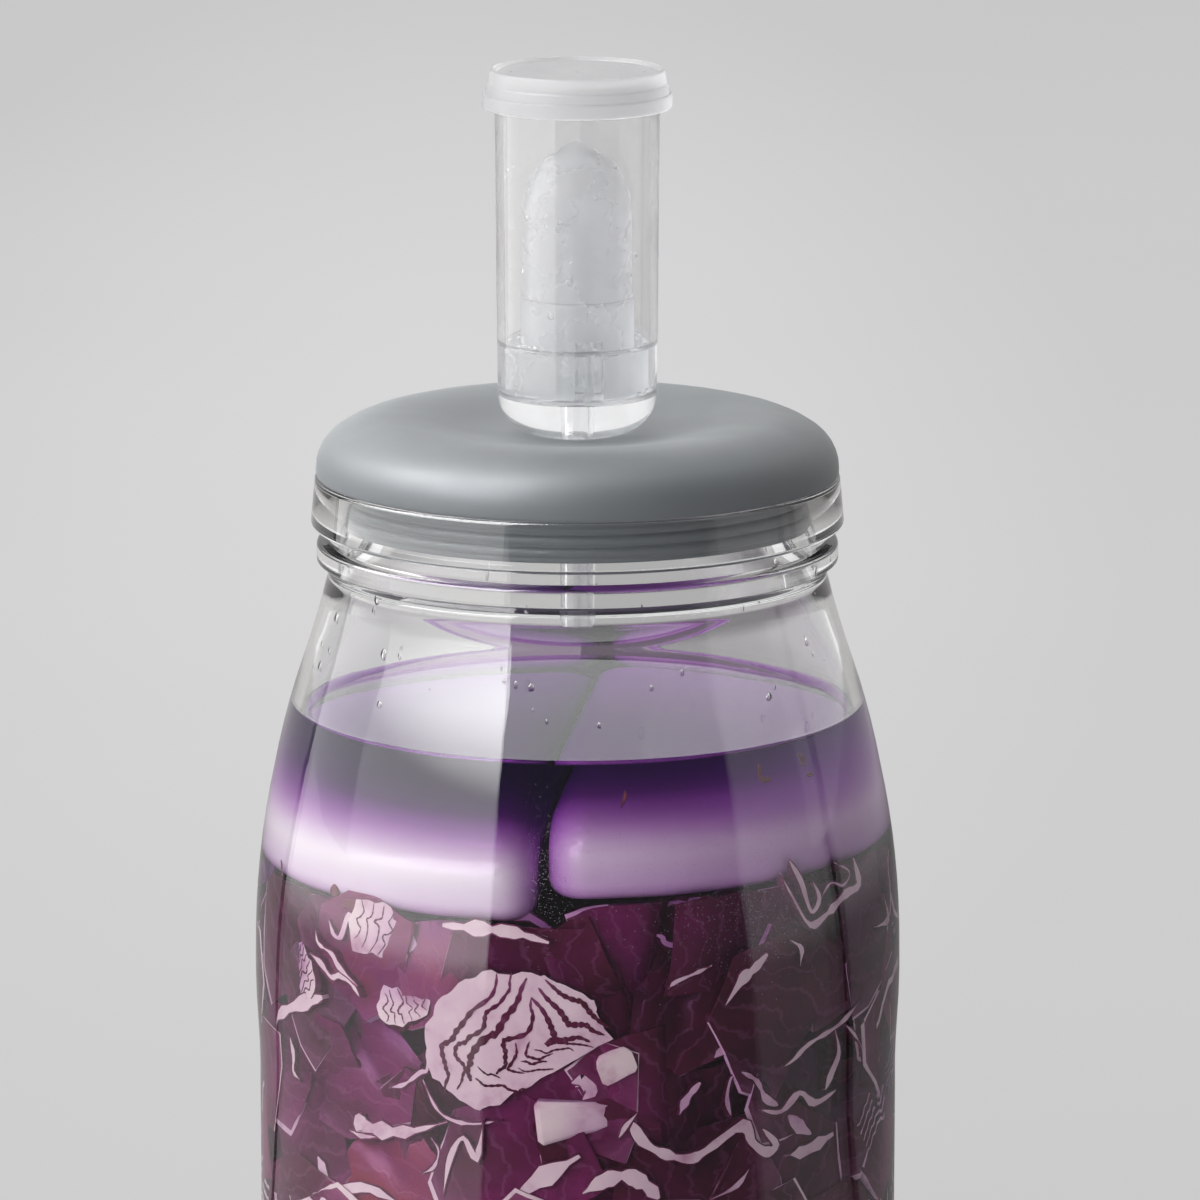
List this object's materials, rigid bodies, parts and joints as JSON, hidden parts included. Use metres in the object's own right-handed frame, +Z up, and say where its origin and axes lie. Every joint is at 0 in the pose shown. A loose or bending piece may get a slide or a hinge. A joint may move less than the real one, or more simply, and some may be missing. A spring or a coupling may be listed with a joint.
{
  "type": "fermentation jar",
  "caption": "Shouldered glass jar with a pushed-in silicone lid and a clear three-piece airlock, filled with cut red cabbage held under purple brine by half-moon stones.",
  "frame": {"origin": "centre of the jar's foot, on the surface it stands on", "axes": "+Z up along the jar's axis, -Y towards the front"},
  "size_m": [0.1536, 0.1536, 0.318],
  "materials": {
    "jar_glass": "clear moulded glass",
    "grey_silicone": "matte grey silicone",
    "clear_plastic": "clear hard plastic",
    "frosted_plastic": "milky clear plastic",
    "cap_plastic": "soft translucent plastic",
    "water": "clear water",
    "purple_brine": "purple brine, clear",
    "red_cabbage": "cut red cabbage, wet",
    "white_stoneware": "white glazed stoneware"
  },
  "bodies": {
    "root": {"jar": "jar_glass", "lid": "grey_silicone", "airlock_body": "clear_plastic", "airlock_float": "frosted_plastic", "airlock_cap": "cap_plastic", "airlock_water": "water", "brine": "purple_brine", "cabbage": "red_cabbage", "stone_left": "white_stoneware", "stone_right": "white_stoneware"}
  },
  "joints": []
}
